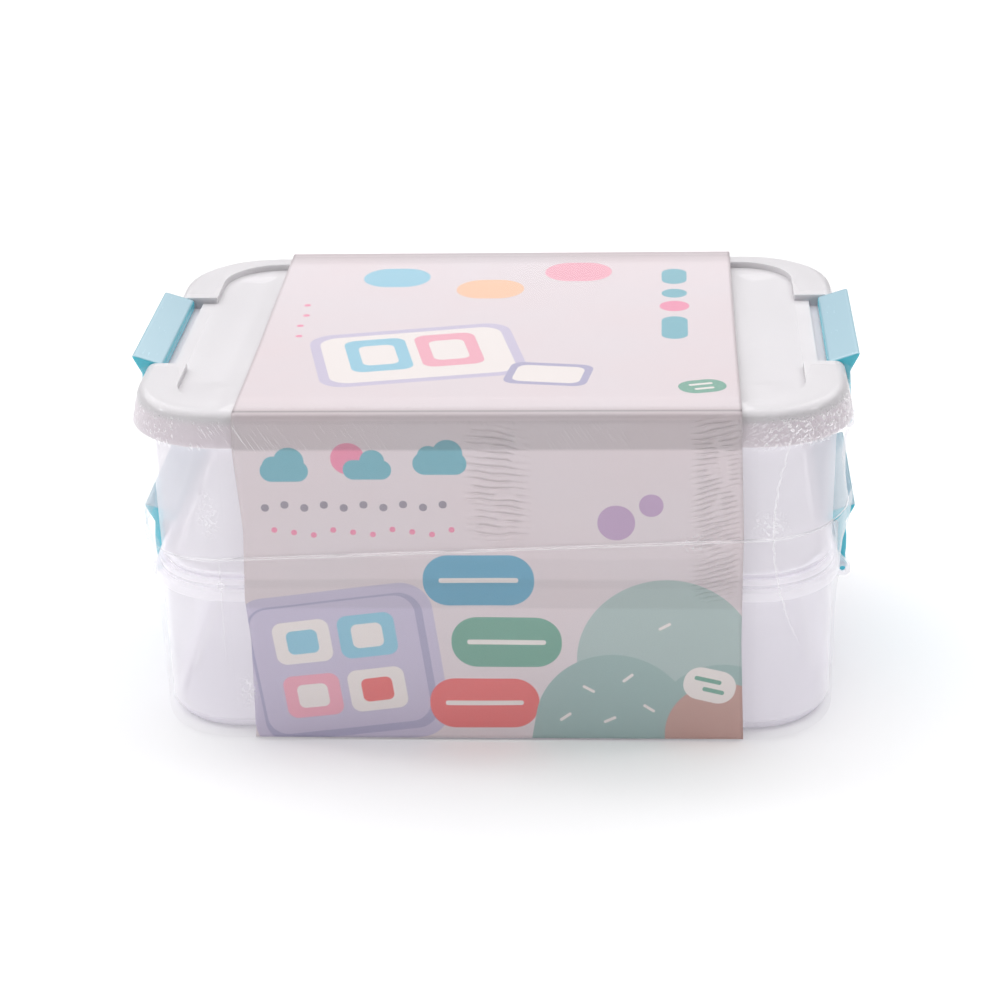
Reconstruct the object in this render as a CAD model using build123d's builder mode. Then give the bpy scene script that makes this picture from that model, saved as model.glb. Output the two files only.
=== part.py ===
from build123d import *
from math import atan, degrees
import os

# A two-tier freezer box for milk bags: two equal clear tubs, a lid with a
# folding handle, four latches that hook down over a ledge, a printed card
# sleeve over the top and both long sides, and a shrink film in two halves.
# X runs along the box, Y from front to back, Z up. The origin is the bottom
# centre of the lower tub. All sizes are in millimetres.

os.makedirs("parts", exist_ok=True)

overcut = 0.1           # cuts run past the open faces by this much

# ---- tub: outer sizes are taken at the lip, the top edge of the wall ----
tub_length = 262.4
tub_depth = 173.0
tub_corner = 31.0
tub_height = 65.2
tub_lean = 0.9          # each wall leans in by this much on its way down
wall = 1.8
floor_thickness = 2.0
plinth_inset = 1.9      # the foot of the tub is narrower and drops inside the tub below
plinth_chamfer = 1.5
floor_chamfer = 1.5     # along the foot of the wall, inside
rim_low = 57.0          # rim flange, which stiffens the wall and stops the lid's skirt
rim_thickness = 4.6
rim_width = 2.0
rim_chamfer = 0.9

# ---- ledge that a latch hooks over, on the foot of a tub and on the lid ----
ledge_low = 2.2         # height of the ledge's underside above the tub's foot
ledge_thickness = 2.0
ledge_half_width = 36.0
notch_half_width = 38.0
notch_depth = 6.4       # from the face of the lip in to the notch's inner wall
notch_height = 10.0
notch_skin = 1.7

# ---- latch ----
latch_width = 74.6
latch_wall = 2.6
latch_wall_gap = 0.8    # between the rim flange and the latch's wall
latch_skin = 1.8
latch_bulge = 0.8       # the wall's outer face swells by this much half way up
latch_neck = 0.3        # and still stands out by this much where it meets the nose
latch_reach = 12.0      # top plate, from its inner edge to the nose
latch_rise = 4.0        # the top plate climbs by this much towards the nose
latch_hook = 3.8        # height of the hook at the plate's inner edge
latch_seat_gap = 0.2
nose_undercut = 3.4
nose_height = 8.0
nose_face = 1.4         # height of the nose's upright face
nose_round = 0.35
pivot_drop = 8.5        # pivot below the underside of the rim flange
pivot_inset = 0.7       # pivot behind the outer face, far enough out that the latch leans shut
pin_radius = 1.2
pin_clearance = 0.05
pin_length = 2.4
barrel_radius = 2.0
ear_thickness = 3.0
ear_gap = 0.5
ear_reach = 2.8         # from the pivot to the ear's edge
ear_lap = 0.2           # the ear runs up into the rim flange by this much

# ---- lid: its outer size is taken at the foot of the skirt ----
lid_overhang = 5.9      # how far the skirt's foot stands out past the lip
skirt_lean = 3.0
skirt_drop = 6.4        # the skirt reaches this far below the lip
skirt_wall = 1.9
lid_rise = 6.8          # top of the rim band above the lip
lid_round = 4.0
panel_sink = 2.6        # the panel lies this far below the rim band
panel_thickness = 2.0
band_at_ends = 15.3     # width of the raised rim band on the lid's top
band_at_sides = 9.4
panel_corner = 22.0
band_skin = 2.1
plug_wall = 1.6         # rib that drops inside the lip and centres the lid
plug_clearance = 0.4
plug_drop = 3.0

# ---- handle and its well in the lid ----
well_length = 106.0
well_depth = 42.0
well_corner = 14.0
well_sink = 6.0
well_wall = 1.8
handle_length = 92.0
handle_reach = 25.0     # from the pivot to the middle of the grip
handle_bar = 9.0
handle_thickness = 5.4
handle_chamfer = 1.5
handle_bend = 9.0       # radius of the bail's corners, along the middle of the bar
handle_pivot_y = 12.5
handle_pin_radius = 1.5
handle_pin_length = 2.6
handle_gap = 0.4
handle_rest = 0.5       # between the folded handle and the floor of its well
boss_half_width = 3.6

# ---- card sleeve ----
card = 0.5
sleeve_width = 188.0
sleeve_clearance = 0.3
sleeve_foot = 0.8
sleeve_bend = 4.0

# ---- shrink film ----
film = 0.3
film_clearance = 0.35
film_seam = 81.0
film_seam_gap = 0.2
film_window = 42.0      # half width of the opening round each pair of latches
film_window_foot = 43.0

# ---- heights and places that follow from the sizes above ----
plinth_height = ledge_low + ledge_thickness
tier_pitch = tub_height - ledge_low
lip = tier_pitch + tub_height
lid_length = tub_length + 2 * lid_overhang
lid_depth = tub_depth + 2 * lid_overhang
lid_corner = tub_corner + lid_overhang
panel_length = lid_length - 2 * (skirt_lean + band_at_ends)
panel_depth = lid_depth - 2 * (skirt_lean + band_at_sides)
lid_top = lip + lid_rise
panel_top = lid_top - panel_sink
skirt_foot = lip - skirt_drop
notch_floor = lip + ledge_thickness
notch_wall_x = tub_length / 2 - notch_depth
notch_root_x = tub_length / 2 - tub_lean - wall * 3 / 4   # inside the tub's wall, clear of the lip below
ledge_end_x = tub_length / 2 + rim_width
latch_wall_x = ledge_end_x + latch_wall_gap
latch_base = tub_height + ledge_thickness + latch_seat_gap
hook_x = latch_wall_x + latch_wall + latch_neck + nose_undercut - latch_reach
nose_x = hook_x + latch_reach
hook_top = latch_base + latch_hook
nose_top = hook_top + latch_rise
skin_climb = latch_skin * latch_rise / latch_reach   # the plate climbs by this over its own skin
pivot_x = latch_wall_x + latch_wall - pivot_inset
pivot_z = rim_low - pivot_drop
well_floor = panel_top - well_sink
handle_z = well_floor + handle_rest + handle_thickness / 2
sleeve_half_depth = lid_depth / 2 + sleeve_clearance + card
sleeve_top = lid_top + sleeve_clearance + card
film_half_length = lid_length / 2 + film_clearance + film
film_half_depth = sleeve_half_depth + film_clearance + film
film_corner = lid_corner + film_clearance + film


def outline(height, length, depth, corner):
    """Rounded rectangle, centred on the box, at a height."""
    with BuildSketch(Plane.XY.offset(height)) as flat:
        RectangleRounded(length, depth, corner)
    return flat.sketch


def tub_outline(height, grow=0.0):
    """The tub's outer wall at a height above its foot, grown by so much all round."""
    lean = tub_lean * (tub_height - height) / (tub_height - plinth_height)
    inset = lean - grow
    return outline(height, tub_length - 2 * inset, tub_depth - 2 * inset, tub_corner - inset)


def plinth_outline(height, grow=0.0):
    """The narrower foot of the tub at a height, grown by so much all round."""
    inset = tub_lean + plinth_inset - grow
    return outline(height, tub_length - 2 * inset, tub_depth - 2 * inset, tub_corner - inset)


# ---- rim flange: runs round the tub below its lip ----
with BuildPart() as rim_flange:
    extrude(tub_outline(rim_low, rim_width), amount=rim_thickness)
    chamfer(rim_flange.faces().sort_by(Axis.Z)[-1].edges(), rim_chamfer)

# ---- tub: one moulding serves as the lower and the upper container ----
with BuildPart() as tub:
    loft([tub_outline(plinth_height), tub_outline(tub_height)], ruled=True)
    extrude(plinth_outline(0), amount=plinth_height)
    chamfer(tub.faces().sort_by(Axis.Z)[0].edges(), plinth_chamfer)
    add(rim_flange.part)
    # hollow: the foot first, then the leaning wall above it
    extrude(plinth_outline(floor_thickness, -wall), amount=plinth_height, mode=Mode.SUBTRACT)
    loft([tub_outline(plinth_height + wall, -wall), tub_outline(tub_height + overcut, -wall)],
         ruled=True, mode=Mode.SUBTRACT)
    chamfer(tub.faces().filter_by(Axis.Z).sort_by(Axis.Z)[1].edges(), floor_chamfer)
    # notch in each end of the foot, where the latch of the tub below hooks in
    for side in (-1, 1):
        with BuildSketch(Plane.XY.offset(floor_thickness / 2)):
            with Locations((side * (notch_root_x + notch_wall_x - notch_skin) / 2, 0)):
                Rectangle(notch_root_x - notch_wall_x + notch_skin, 2 * (notch_half_width + notch_skin))
        extrude(amount=ledge_low + ledge_thickness + notch_height + notch_skin - floor_thickness / 2)
        with BuildSketch(Plane.XY.offset(ledge_low + ledge_thickness)):
            with Locations((side * (notch_wall_x + notch_depth), 0)):
                Rectangle(2 * notch_depth, 2 * notch_half_width)
        extrude(amount=notch_height, mode=Mode.SUBTRACT)
        with BuildSketch(Plane.XY.offset(ledge_low)):
            with Locations((side * (notch_wall_x + tub_length / 2) / 2, 0)):
                Rectangle(notch_depth, 2 * ledge_half_width)
        extrude(amount=ledge_thickness)
    # ears that carry the latch pins, under the rim flange
    for side in (-1, 1):
        for end in (-1, 1):
            ear_y = end * (latch_width / 2 + ear_gap + ear_thickness / 2)
            with BuildSketch(Plane.XZ.offset(-ear_y)):
                with BuildLine():
                    Polyline((side * (tub_length / 2 - wall), pivot_z - 2 * ear_reach),
                             (side * (pivot_x - ear_reach / 2), pivot_z - ear_reach),
                             (side * (pivot_x + ear_reach / 2), pivot_z - ear_reach),
                             (side * (pivot_x + ear_reach), pivot_z - ear_reach / 2),
                             (side * (pivot_x + ear_reach), pivot_z + ear_reach / 2),
                             (side * (tub_length / 2 + rim_width - rim_chamfer), rim_low + ear_lap),
                             (side * (tub_length / 2 - wall), rim_low + ear_lap), close=True)
                make_face()
                with Locations((side * pivot_x, pivot_z)):
                    Circle(pin_radius + pin_clearance, mode=Mode.SUBTRACT)
            extrude(amount=ear_thickness / 2, both=True)
    # the ears start inside the wall, so the hollow is cleared again up to the rim
    loft([tub_outline(plinth_height + wall + notch_height, -wall), tub_outline(tub_height + overcut, -wall)],
         ruled=True, mode=Mode.SUBTRACT)

for level, base in (("lower", 0), ("upper", tier_pitch)):
    with BuildPart() as container:
        add(tub.part.moved(Location((0, 0, base))))
    container.part.label = f"{level}_container"
    export_step(container.part, f"parts/{container.part.label}.step")

# ---- latch: drawn at the right end of the lower tub ----
with BuildPart() as latch:
    with BuildSketch(Plane.XZ) as latch_profile:
        with BuildLine():
            middle_z = (pivot_z + latch_base) / 2
            outer_x = latch_wall_x + latch_wall
            Line((latch_wall_x, pivot_z), (latch_wall_x, latch_base))
            Line((latch_wall_x, latch_base), (hook_x, latch_base))
            Line((hook_x, latch_base), (hook_x, hook_top))
            Line((hook_x, hook_top), (nose_x, nose_top))
            Line((nose_x, nose_top), (nose_x, nose_top - nose_face))
            Line((nose_x, nose_top - nose_face), (outer_x + latch_neck, nose_top - nose_height))
            ThreePointArc((outer_x + latch_neck, nose_top - nose_height),
                          (outer_x + latch_bulge, middle_z), (outer_x, pivot_z))
            Line((outer_x, pivot_z), (latch_wall_x, pivot_z))
        make_face()
        with Locations((pivot_x, pivot_z)):
            Circle(barrel_radius)
    extrude(amount=latch_width / 2, both=True)
    fillet(latch.edges().filter_by(Axis.Y).sort_by(Axis.X)[-2:], nose_round)
    # underside of the top plate is hollow, with a web left at each end
    with BuildSketch(Plane.XZ):
        with BuildLine():
            Polyline((hook_x + latch_skin, latch_base),
                     (hook_x + latch_skin, hook_top - latch_skin + skin_climb),
                     (nose_x - latch_skin, nose_top - latch_skin - skin_climb),
                     (outer_x + latch_neck - latch_skin, nose_top - nose_height),
                     (latch_wall_x, latch_base), close=True)
        make_face()
    extrude(amount=latch_width / 2 - latch_skin, both=True, mode=Mode.SUBTRACT)
    for end in (-1, 1):
        with BuildSketch(Plane.XZ.offset(-end * latch_width / 2)):
            with Locations((pivot_x, pivot_z)):
                Circle(pin_radius)
        extrude(amount=-end * pin_length)

for level, base in (("lower", 0), ("upper", tier_pitch)):
    for side in ("left", "right"):
        with BuildPart() as placed_latch:
            add(latch.part.moved(Location((0, 0, base))))
            if side == "left":
                mirror(about=Plane.YZ, mode=Mode.REPLACE)
        placed_latch.part.label = f"latch_{level}_{side}"
        export_step(placed_latch.part, f"parts/{placed_latch.part.label}.step")

# ---- lid ----
with BuildPart() as lid:
    skirt_angle = degrees(atan(skirt_lean / (lid_top - skirt_foot)))
    extrude(outline(skirt_foot, lid_length, lid_depth, lid_corner),
            amount=lid_top - skirt_foot, taper=skirt_angle)
    fillet(lid.faces().sort_by(Axis.Z)[-1].edges(), lid_round)
    # everything below the lip's top, inside the skirt
    extrude(outline(skirt_foot, lid_length - 2 * skirt_wall, lid_depth - 2 * skirt_wall,
                    lid_corner - skirt_wall), amount=skirt_drop, taper=skirt_angle, mode=Mode.SUBTRACT)
    # hollow inside the seat ring, up under the rim band
    plug_inset = wall + plug_clearance + plug_wall
    extrude(outline(lip, tub_length - 2 * plug_inset, tub_depth - 2 * plug_inset, tub_corner - plug_inset),
            amount=lid_rise - band_skin, mode=Mode.SUBTRACT)
    # panel, with its edge turned up into the band
    extrude(outline(panel_top - panel_thickness, panel_length + 2 * band_skin,
                    panel_depth + 2 * band_skin, panel_corner + band_skin),
            amount=lid_top - band_skin / 2 - panel_top + panel_thickness)
    extrude(outline(panel_top, panel_length, panel_depth, panel_corner),
            amount=lid_rise, mode=Mode.SUBTRACT)
    # rib that drops inside the lip
    with BuildSketch(Plane.XY.offset(lip - plug_drop)):
        add(outline(0, tub_length - 2 * (wall + plug_clearance), tub_depth - 2 * (wall + plug_clearance),
                    tub_corner - wall - plug_clearance))
        add(outline(0, tub_length - 2 * plug_inset, tub_depth - 2 * plug_inset, tub_corner - plug_inset),
            mode=Mode.SUBTRACT)
    extrude(amount=plug_drop + ledge_thickness)
    # notch at each end, where a latch hooks over the lid
    for side in (-1, 1):
        with BuildSketch(Plane.XY.offset(lip)):
            with Locations((side * (notch_wall_x - notch_skin + ledge_end_x) / 2, 0)):
                Rectangle(ledge_end_x - notch_wall_x + notch_skin, 2 * (notch_half_width + notch_skin))
        extrude(amount=lid_rise - band_skin / 2)
        with BuildSketch(Plane.XY.offset(panel_top - panel_thickness)):
            with Locations((side * (panel_length / 2 + notch_wall_x) / 2, 0)):
                Rectangle(notch_wall_x - panel_length / 2, 2 * (notch_half_width + notch_skin))
        extrude(amount=panel_thickness + panel_sink - band_skin / 2)
        with BuildSketch(Plane.XY.offset(notch_floor)):
            with Locations((side * (notch_wall_x + lid_length / 2) / 2, 0)):
                Rectangle(lid_length / 2 - notch_wall_x, 2 * notch_half_width)
        extrude(amount=lid_rise, mode=Mode.SUBTRACT)
        with BuildSketch(Plane.XY.offset(skirt_foot)):
            with Locations((side * (ledge_end_x + lid_length / 2) / 2, 0)):
                Rectangle(lid_length / 2 - ledge_end_x, 2 * notch_half_width)
        extrude(amount=lid_rise + skirt_drop, mode=Mode.SUBTRACT)
        # the panel runs out level to the notch's inner wall
        with BuildSketch(Plane.XY.offset(panel_top)):
            with Locations((side * (panel_length / 2 - band_skin + notch_wall_x) / 2, 0)):
                Rectangle(notch_wall_x - panel_length / 2 + band_skin, 2 * notch_half_width)
        extrude(amount=lid_rise, mode=Mode.SUBTRACT)
    # well for the handle, with a boss at each end for its pins
    extrude(outline(well_floor - well_wall, well_length + 2 * well_wall, well_depth + 2 * well_wall,
                    well_corner + well_wall), amount=well_sink + well_wall)
    extrude(outline(well_floor, well_length, well_depth, well_corner), amount=well_sink, mode=Mode.SUBTRACT)
    for side in (-1, 1):
        boss_start = handle_length / 2 + handle_gap
        with BuildSketch(Plane.XY.offset(well_floor)):
            with Locations((side * (boss_start + well_length / 2 + well_wall / 2) / 2, handle_pivot_y)):
                Rectangle(well_length / 2 + well_wall / 2 - boss_start, 2 * boss_half_width)
        extrude(amount=well_sink)
        with BuildSketch(Plane.YZ.offset(side * (boss_start - overcut))):
            with Locations((handle_pivot_y, handle_z)):
                Circle(handle_pin_radius + pin_clearance)
        extrude(amount=side * (handle_pin_length + 2 * overcut), mode=Mode.SUBTRACT)
lid.part.label = "lid"
export_step(lid.part, "parts/lid.step")

# ---- handle: a flat bail, folded down into the well ----
with BuildPart() as handle:
    arm_x = (handle_length - handle_bar) / 2
    grip_y = handle_pivot_y - handle_reach
    with BuildLine(Plane.XY.offset(handle_z)) as bail:
        FilletPolyline((-arm_x, handle_pivot_y), (-arm_x, grip_y), (arm_x, grip_y),
                       (arm_x, handle_pivot_y), radius=handle_bend)
    with BuildSketch(Plane(bail.line @ 0, x_dir=(1, 0, 0), z_dir=(0, -1, 0))) as bail_section:
        Rectangle(handle_bar, handle_thickness)
        chamfer(bail_section.vertices(), handle_chamfer)
    sweep(path=bail.line)
    for side in (-1, 1):
        with BuildSketch(Plane.YZ.offset(side * arm_x)):
            with Locations((handle_pivot_y, handle_z)):
                Circle(handle_thickness / 2)
        extrude(amount=handle_bar / 2, both=True)
        with BuildSketch(Plane.YZ.offset(side * handle_length / 2)):
            with Locations((handle_pivot_y, handle_z)):
                Circle(handle_pin_radius)
        extrude(amount=side * handle_pin_length)
handle.part.label = "handle"
export_step(handle.part, "parts/handle.step")

# ---- card sleeve: one strip bent over the front, the top and the back ----
with BuildPart() as sleeve:
    with BuildSketch(Plane.YZ):
        with Locations((0, (sleeve_foot + sleeve_top) / 2)):
            RectangleRounded(2 * sleeve_half_depth, sleeve_top - sleeve_foot, sleeve_bend)
        with Locations((0, (sleeve_foot + sleeve_top) / 2)):
            RectangleRounded(2 * (sleeve_half_depth - card), sleeve_top - sleeve_foot - 2 * card,
                             sleeve_bend - card, mode=Mode.SUBTRACT)
        with Locations((0, sleeve_foot + sleeve_bend / 2)):
            Rectangle(2 * sleeve_half_depth, sleeve_bend)
        with Locations((0, sleeve_foot + sleeve_bend / 2)):
            Rectangle(2 * (sleeve_half_depth - card), sleeve_bend + 2 * card, mode=Mode.SUBTRACT)
    extrude(amount=sleeve_width / 2, both=True)
sleeve.part.label = "sleeve"
export_step(sleeve.part, "parts/sleeve.step")


def film_outline(height, half_length, shrink):
    """Film at a height: its own half length, and the full depth over the sleeve."""
    return outline(height, 2 * (half_length - shrink), 2 * (film_half_depth - shrink), film_corner - shrink)


# ---- upper half of the film: a cap over the sleeve and the lid ----
film_top = sleeve_top + film_clearance + film
with BuildPart() as film_upper:
    extrude(film_outline(film_seam + film_seam_gap, film_half_length, 0),
            amount=film_top - film_seam - film_seam_gap)
    offset(amount=-film, openings=film_upper.faces().sort_by(Axis.Z)[0])
    for side in (-1, 1):
        with BuildSketch(Plane.XY.offset(film_seam)):
            with Locations((side * (notch_wall_x + film_half_length + overcut) / 2, 0)):
                Rectangle(film_half_length + overcut - notch_wall_x, 2 * film_window)
        extrude(amount=film_top, mode=Mode.SUBTRACT)
film_upper.part.label = "film_upper"
export_step(film_upper.part, "parts/film_upper.step")

# ---- lower half of the film: close round the tub's ends, then out over the rim flange ----
tub_half = tub_length / 2
film_levels = (
    (sleeve_foot, tub_half + film_clearance + film),
    (rim_low, tub_half + rim_width + film_clearance + film),
    (film_seam - film_seam_gap, film_half_length),
)
with BuildPart() as film_lower:
    loft([film_outline(height, half, 0) for height, half in film_levels], ruled=True)
    loft([film_outline(height, half, film) for height, half in film_levels], ruled=True,
         mode=Mode.SUBTRACT)
    for side in (-1, 1):
        with BuildSketch(Plane.XY.offset(film_window_foot)):
            with Locations((side * (notch_wall_x + film_half_length + overcut) / 2, 0)):
                Rectangle(film_half_length + overcut - notch_wall_x, 2 * film_window)
        extrude(amount=film_seam, mode=Mode.SUBTRACT)
film_lower.part.label = "film_lower"
export_step(film_lower.part, "parts/film_lower.step")
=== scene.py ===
# %% [markdown]
# # A stackable freezer box for milk bags, dressed for its picture
#
# The box was drawn as exact solids first: two frosted tubs, a white lid with a folding handle, four
# turquoise end latches, a printed card sleeve and clear shrink film. This lesson loads those solids as a
# frame that never moves and gives the tubs and the lid their finish. The latches, the handle, the card
# and the film are worked out as surfaces with numpy, from lengths in millimetres.

import math

import bpy
import numpy as np
from mathutils import Matrix


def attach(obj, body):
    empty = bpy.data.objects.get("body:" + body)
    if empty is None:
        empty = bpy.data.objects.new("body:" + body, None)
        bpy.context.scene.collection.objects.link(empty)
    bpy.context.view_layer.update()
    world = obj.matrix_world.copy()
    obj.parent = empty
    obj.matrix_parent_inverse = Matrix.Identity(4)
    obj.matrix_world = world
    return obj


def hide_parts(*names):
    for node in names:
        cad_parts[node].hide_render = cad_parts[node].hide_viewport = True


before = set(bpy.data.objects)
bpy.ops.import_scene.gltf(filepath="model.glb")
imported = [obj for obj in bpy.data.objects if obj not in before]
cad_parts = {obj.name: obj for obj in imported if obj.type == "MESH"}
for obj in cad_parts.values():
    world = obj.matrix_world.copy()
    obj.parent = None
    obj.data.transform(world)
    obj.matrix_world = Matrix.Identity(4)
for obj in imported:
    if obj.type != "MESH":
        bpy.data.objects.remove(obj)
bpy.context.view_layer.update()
MM = 0.001
print("solids:", sorted(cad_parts))

# %% [markdown]
# ## The camera
#
# The picture was taken from a little above and a little to the right, with a long lens. The place, the
# three turns and the focal length come from a least-squares fit to points read off the photograph, so
# the render can be laid over it. The axes go into a matrix, which leaves no doubt about their order.

# %% Camera
def add_object(name, data):
    """A new object in the scene, at the origin."""
    made = bpy.data.objects.new(name, data)
    bpy.context.scene.collection.objects.link(made)
    return made


eye = np.array([65.122, -975.168, 491.901]) * MM
yaw, pitch, roll = -0.068, 0.416, -0.028
ahead = np.array([math.sin(yaw) * math.cos(pitch), math.cos(yaw) * math.cos(pitch), -math.sin(pitch)])
level = np.array([math.cos(yaw), -math.sin(yaw), 0.0])
above = np.cross(level, ahead)
across = math.cos(roll) * level + math.sin(roll) * above
upright = -math.sin(roll) * level + math.cos(roll) * above

lens = bpy.data.cameras.new("studio_camera")
lens.sensor_width, lens.lens, lens.clip_end = 36.0, 93.91, 20.0
camera = add_object("studio_camera", lens)
turn = np.eye(4)
turn[:3] = np.stack([across, upright, -ahead, eye], axis=1)
camera.matrix_world = Matrix(turn.tolist())
bpy.context.scene.camera = camera
print("camera", np.round(eye, 3), "lens", lens.lens)

# %% [markdown]
# ## From a grid of points to a mesh
#
# Card and film are sheets, so each one is a function of two parameters on a grid. The helper joins the
# grid into quads, leaves out the quads where the sheet has an opening, and keeps a UV map that says how
# far a point lies along the sheet and across it. A second helper closes stacked rings to a body.

# %% Mesh helpers
def smooth_mesh(name, points, faces):
    """A smooth-shaded mesh from points and faces."""
    mesh = bpy.data.meshes.new(name)
    mesh.from_pydata(points.tolist(), [], faces)
    mesh.polygons.foreach_set("use_smooth", np.ones(len(mesh.polygons), dtype=bool))
    mesh.update()
    return mesh


def sheet_mesh(name, points, along, across_it, keep=None, closed=False):
    """A quad for each cell of the grid of points (rows, columns, 3), in metres. Cell (i, j) joins points
    (i, j), (i, j+1), (i+1, j+1), (i+1, j); a closed sheet joins the last column to the first. The UV map
    holds along and across_it in metres, so a print laid on it keeps its size."""
    rows, columns = points.shape[:2]
    number = np.arange(rows * columns).reshape(rows, columns)
    if closed:
        number = np.concatenate([number, number[:, :1]], axis=1)
    quads = np.stack([number[:-1, :-1], number[:-1, 1:], number[1:, 1:], number[1:, :-1]], axis=-1)
    quads = quads.reshape(-1, 4) if keep is None else quads[keep]
    mesh = smooth_mesh(name, points.reshape(-1, 3), quads.tolist())
    where = np.stack(np.broadcast_arrays(along, across_it), axis=-1).reshape(-1, 2)
    corner = np.empty(len(mesh.loops), dtype=np.int32)
    mesh.loops.foreach_get("vertex_index", corner)
    layer = mesh.uv_layers.new(name="laid_flat")
    layer.data.foreach_set("uv", where[corner].astype(np.float32).ravel())
    print(name, len(mesh.polygons), "quads")
    return add_object(name, mesh)


def bump_of(distance, width):
    """A smooth hump: 1 where distance is 0, falling to nothing by two or three widths, as exp(-(d/w)^2)."""
    return np.exp(-((distance / width) ** 2))


def closed_skin(name, rings, extra=()):
    """A closed body from rings (rows, points, 3) in metres: quads join each ring to the next, and the first
    and the last ring are closed by one flat face each. extra holds more such stacks for the same mesh. The
    faces are turned outwards: a body's volume is the sum of (a x b) . c / 6 over its triangles, and where
    that is negative every face is reversed."""
    points, faces, start = [], [], 0
    for stack in (rings, *extra):
        rows, count = stack.shape[:2]
        number = start + np.arange(rows * count).reshape(rows, count)
        round_again = np.concatenate([number, number[:, :1]], axis=1)
        low_row, high_row = round_again[:-1], round_again[1:]
        quads = np.stack([low_row[:, :-1], low_row[:, 1:], high_row[:, 1:], high_row[:, :-1]], axis=-1)
        quads = quads.reshape(-1, 4)
        flat_points = stack.reshape(-1, 3)
        a, b, c, d = (flat_points[quads[:, k] - start] - flat_points.mean(axis=0) for k in range(4))
        volume = sum((np.cross(p, q) * r).sum() for p, q, r in ((a, b, c), (a, c, d)))
        skin = quads.tolist() + [number[0, ::-1].tolist(), number[-1].tolist()]
        faces += [face[::-1] for face in skin] if volume < 0 else skin
        points.append(flat_points)
        start += rows * count
    made = add_object(name, smooth_mesh(name, np.concatenate(points), faces))
    made.modifiers.new("flat_faces_stay_flat", "WEIGHTED_NORMAL").keep_sharp = True
    print(name, len(made.data.polygons), "faces")
    return made


# %% [markdown]
# ## Shared effects
#
# What turns up often is a node group. Fine grain is what a moulding tool leaves on plastic.
# Cloudiness is the slow change of tone in a frosted wall or in card. The printed patch is one rounded
# shape of ink, and pressed ripples are the ridges that a tight film leaves in card.

# %% Node helpers and the four effects
def new_group(name, inputs, outputs):
    """An empty shader group with a Vector input, more inputs (name, value) and outputs (names, all
    numbers). An input is a vector if its value is a tuple, and a number otherwise."""
    group = bpy.data.node_groups.new(name, "ShaderNodeTree")
    for label, value in (("Vector", (0.0, 0.0, 0.0)), *inputs):
        kind = "NodeSocketVector" if isinstance(value, tuple) else "NodeSocketFloat"
        group.interface.new_socket(label, in_out="INPUT", socket_type=kind).default_value = value
    for label in outputs:
        group.interface.new_socket(label, in_out="OUTPUT", socket_type="NodeSocketFloat")
    source = group.nodes.new("NodeGroupInput").outputs
    return group, source, group.nodes.new("NodeGroupOutput")


def put(socket, value):
    """Give an input its value: another node's output is linked, anything else is set as a constant."""
    if isinstance(value, bpy.types.NodeSocket):
        socket.id_data.links.new(value, socket)
    else:
        socket.default_value = value


def feed(node, **values):
    """Put values in a node's inputs by name, with an underscore for a space; returns the node."""
    for label, value in values.items():
        put(node.inputs[label.replace("_", " ")], value)
    return node


def maths(tree, operation, first, second=None, third=None, clamp=False):
    """One Math node; each term is a socket or a number."""
    node = tree.nodes.new("ShaderNodeMath")
    node.operation, node.use_clamp = operation, clamp
    for socket, value in zip(node.inputs, (first, second, third)):
        if value is not None:
            put(socket, value)
    return node.outputs[0]


def vector_maths(tree, operation, first, second=(0, 0, 0)):
    """One Vector Math node; a length comes out as a number and anything else as a vector."""
    node = tree.nodes.new("ShaderNodeVectorMath")
    node.operation = operation
    put(node.inputs[0], first)
    put(node.inputs[1], second)
    return node.outputs["Value" if operation in ("LENGTH", "DISTANCE") else "Vector"]


def axis_of(tree, vector, axis):
    """One coordinate of a vector socket."""
    return feed(tree.nodes.new("ShaderNodeSeparateXYZ"), Vector=vector).outputs[axis]


def own_axes(tree, vector, **values):
    """A vector in other axes: Location is taken off, Rotation turned back and Scale divided out."""
    node = tree.nodes.new("ShaderNodeMapping")
    node.vector_type = "TEXTURE"
    return feed(node, Vector=vector, **values).outputs[0]


def times(tree, *terms):
    """The product of the terms, each a socket or a number."""
    product = terms[0]
    for term in terms[1:]:
        product = maths(tree, "MULTIPLY", product, term)
    return product


def noise(tree, where, scale, detail=3.0, rough=0.55):
    """Perlin noise from 0 to 1 at so many lumps per metre."""
    node = tree.nodes.new("ShaderNodeTexNoise")
    return feed(node, Vector=where, Scale=scale, Detail=detail, Roughness=rough).outputs["Fac"]


def spread(tree, value, low, high, to_low=0.0, to_high=1.0):
    """Map low..high to to_low..to_high, held at both ends."""
    node = tree.nodes.new("ShaderNodeMapRange")
    feed(node, Value=value, From_Min=low, From_Max=high, To_Min=to_low, To_Max=to_high)
    return node.outputs["Result"]


grain, source, sink = new_group("moulded_grain", [("Scuffs", 0.3)], ["Height", "Scuff"])
fine = noise(grain, source["Vector"], 2600.0, 2.0)
slow = noise(grain, source["Vector"], 60.0, 4.0)
stretched = vector_maths(grain, "MULTIPLY", source["Vector"], (1.0, 0.12, 0.4))
rubbed = spread(grain, noise(grain, stretched, 900.0, 6.0, 0.7), 0.62, 0.75)
scuff = times(grain, rubbed, spread(grain, slow, 0.5, 0.62), source["Scuffs"])
feed(sink, Scuff=scuff, Height=maths(grain, "MULTIPLY_ADD", slow, 0.4, fine))

cloud, source, sink = new_group("cloudy_tint", [("Size", 14.0)], ["Cloud"])
cloudy = noise(cloud, source["Vector"], source["Size"], rough=0.5)
feed(sink, Cloud=spread(cloud, cloudy, 0.3, 0.7))

patch, source, sink = new_group(
    "printed_patch",
    [("Place", (0.0, 0.0, 0.0)), ("Turn", (0.0, 0.0, 0.0)), ("Half size", (0.01, 0.01, 1.0)),
     ("Round", 0.002), ("Soft", 0.0003)],
    ["Mask"],
)
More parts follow.
